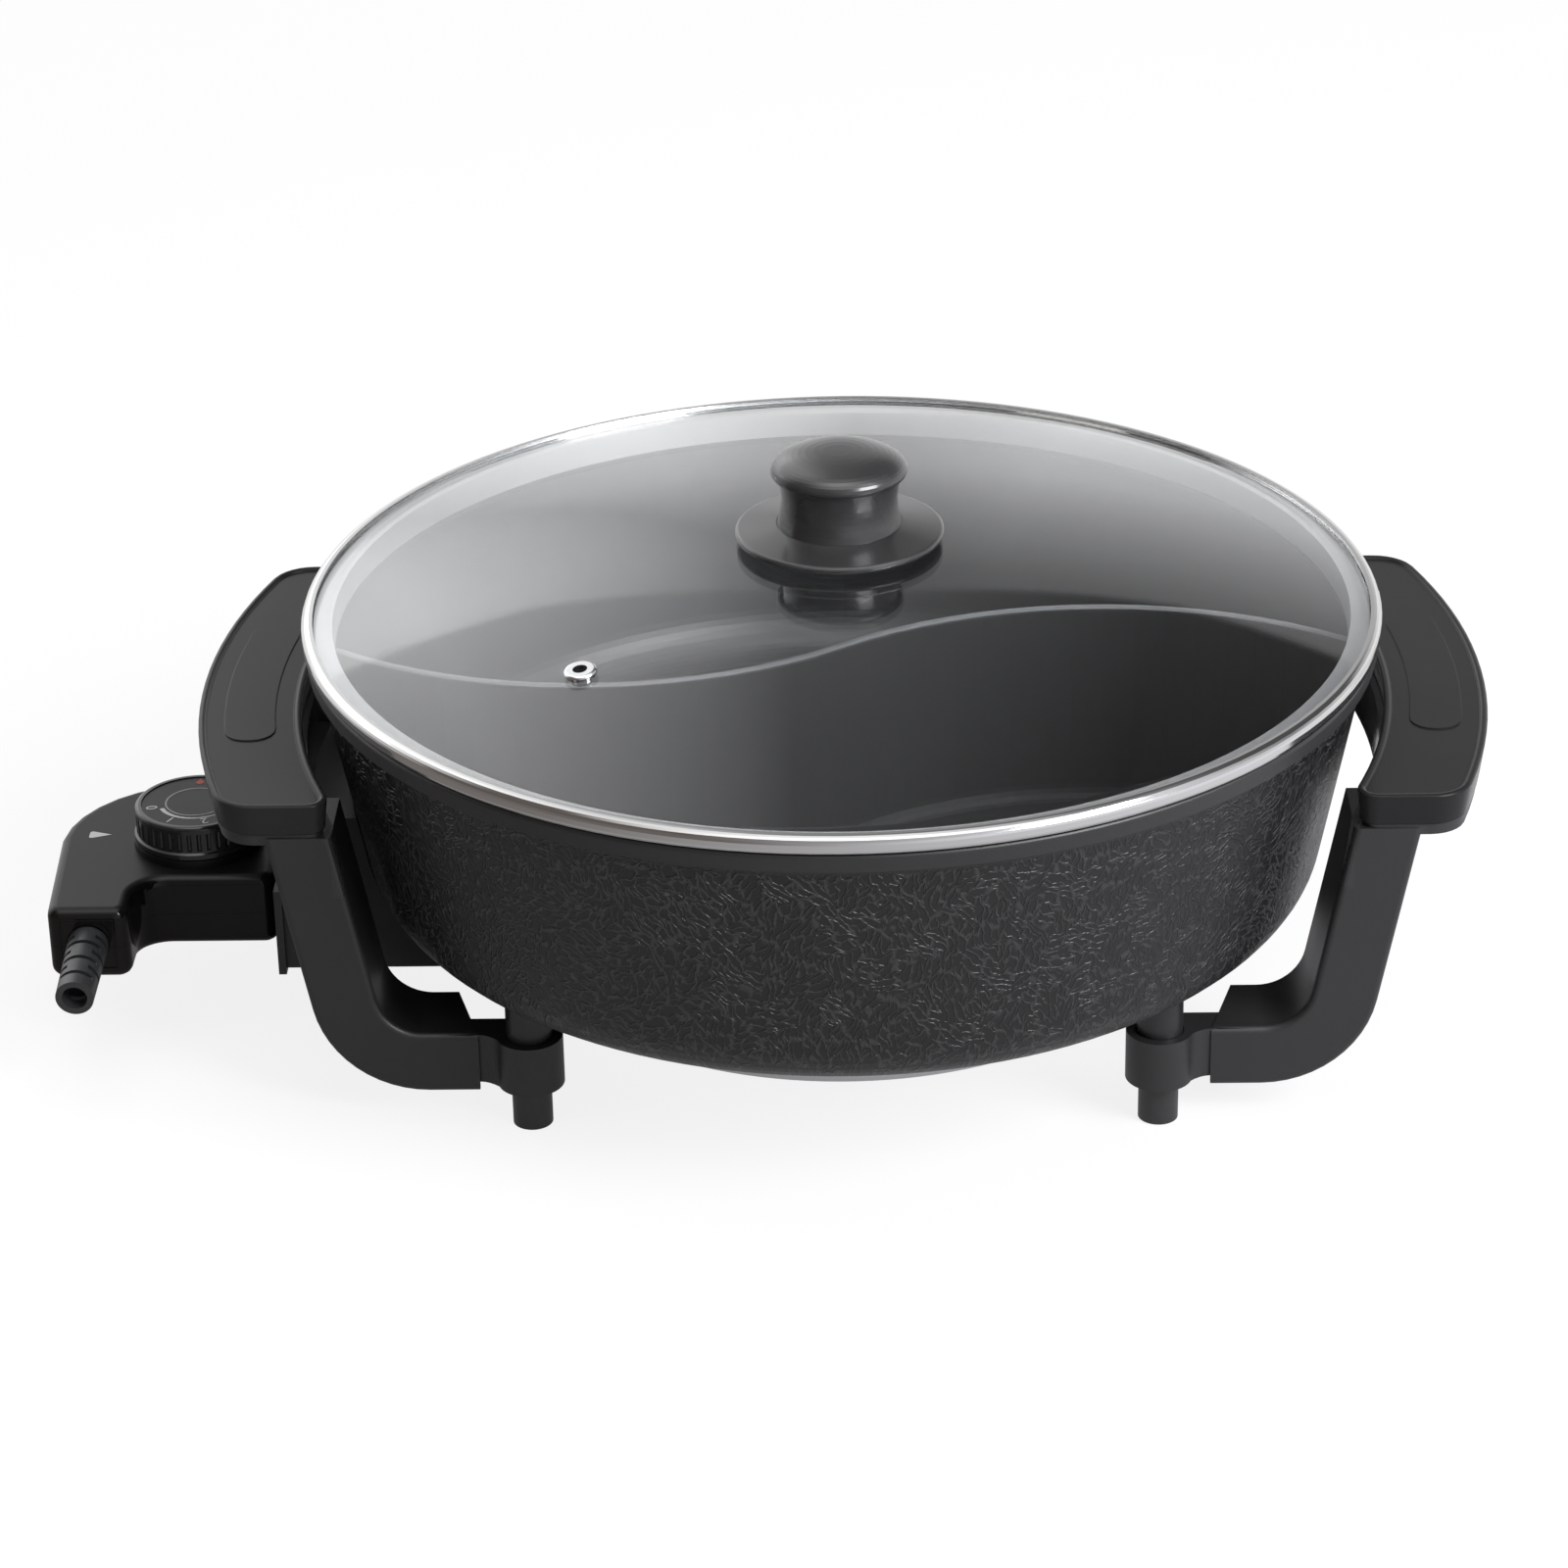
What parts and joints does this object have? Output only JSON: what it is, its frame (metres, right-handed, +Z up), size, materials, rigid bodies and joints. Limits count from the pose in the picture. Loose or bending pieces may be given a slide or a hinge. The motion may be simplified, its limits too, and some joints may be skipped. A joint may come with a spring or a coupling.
{
  "type": "divided electric hot pot",
  "caption": "Round electric hot pot with an S-shaped divider, lift-off domed glass lid, side handles that carry the feet, heated base and plug-in temperature controller.",
  "frame": {"origin": "on the pan's axis, at the level of the table under the feet", "axes": "+X to the right along the handles, +Y to the back, +Z up along the pan's axis; the controller is at -X"},
  "size_m": [0.4047, 0.3, 0.1663],
  "materials": {
    "pan_coating": "black non-stick coating on cast aluminium, embossed outside",
    "bare_aluminium": "plain pressed and cast aluminium",
    "steel_hardware": "bright zinc-plated and drawn steel",
    "polished_steel": "polished stainless sheet",
    "lid_glass": "clear tempered glass",
    "frame_plastic": "satin black heat-resistant moulding",
    "grip_plastic": "glossy black moulding",
    "knob_plastic": "satin black moulding",
    "housing_plastic": "glossy black moulding",
    "nose_plastic": "heat-resistant black moulding",
    "dial_face": "dark printed disc",
    "insulator": "white steatite",
    "soft_rubber": "black moulded rubber",
    "contact_brass": "stamped brass"
  },
  "bodies": {
    "pot": {"pan": "pan_coating", "pan_floor": "pan_coating", "pan_lugs": "pan_coating", "divider": "pan_coating", "base_cover": "bare_aluminium", "cover_screw": "steel_hardware", "heater_plate": "bare_aluminium", "heating_element": "steel_hardware", "terminal_pins": "steel_hardware", "terminal_insulators": "insulator", "probe_socket": "bare_aluminium", "inlet_guard": "frame_plastic", "guard_screws": "steel_hardware", "left_handle_frame": "frame_plastic", "right_handle_frame": "frame_plastic", "left_grip": "grip_plastic", "right_grip": "grip_plastic", "grip_screws": "steel_hardware", "foot_front_left": "frame_plastic", "foot_front_right": "frame_plastic", "foot_rear_left": "frame_plastic", "foot_rear_right": "frame_plastic", "foot_screws": "steel_hardware"},
    "lid": {"lid_glass": "lid_glass", "lid_rim": "polished_steel", "vent_eyelet": "polished_steel", "knob": "knob_plastic", "knob_base": "knob_plastic", "knob_gasket": "soft_rubber", "knob_screw": "steel_hardware"},
    "controller": {"controller_top": "housing_plastic", "controller_bottom": "housing_plastic", "plug_nose": "nose_plastic", "terminal_clips": "contact_brass", "sensor_probe": "steel_hardware", "thermostat": "contact_brass", "housing_screws": "steel_hardware", "strain_relief": "soft_rubber"},
    "dial": {"dial": "housing_plastic", "dial_plate": "dial_face", "dial_shaft": "steel_hardware"}
  },
  "joints": [
    {"name": "lid_lift", "type": "slide", "parent": "pot", "child": "lid", "axis": [0, 0, 1], "range_m": [0, 0.15]},
    {"name": "controller_unplug", "type": "slide", "parent": "pot", "child": "controller", "axis": [-1, 0, 0], "range_m": [0, 0.11]},
    {"name": "dial_turn", "type": "hinge", "parent": "controller", "child": "dial", "pos_m": [-0.185, 0.001, 0.05], "axis": [0, 0, -1], "range_deg": [0, 270]}
  ]
}
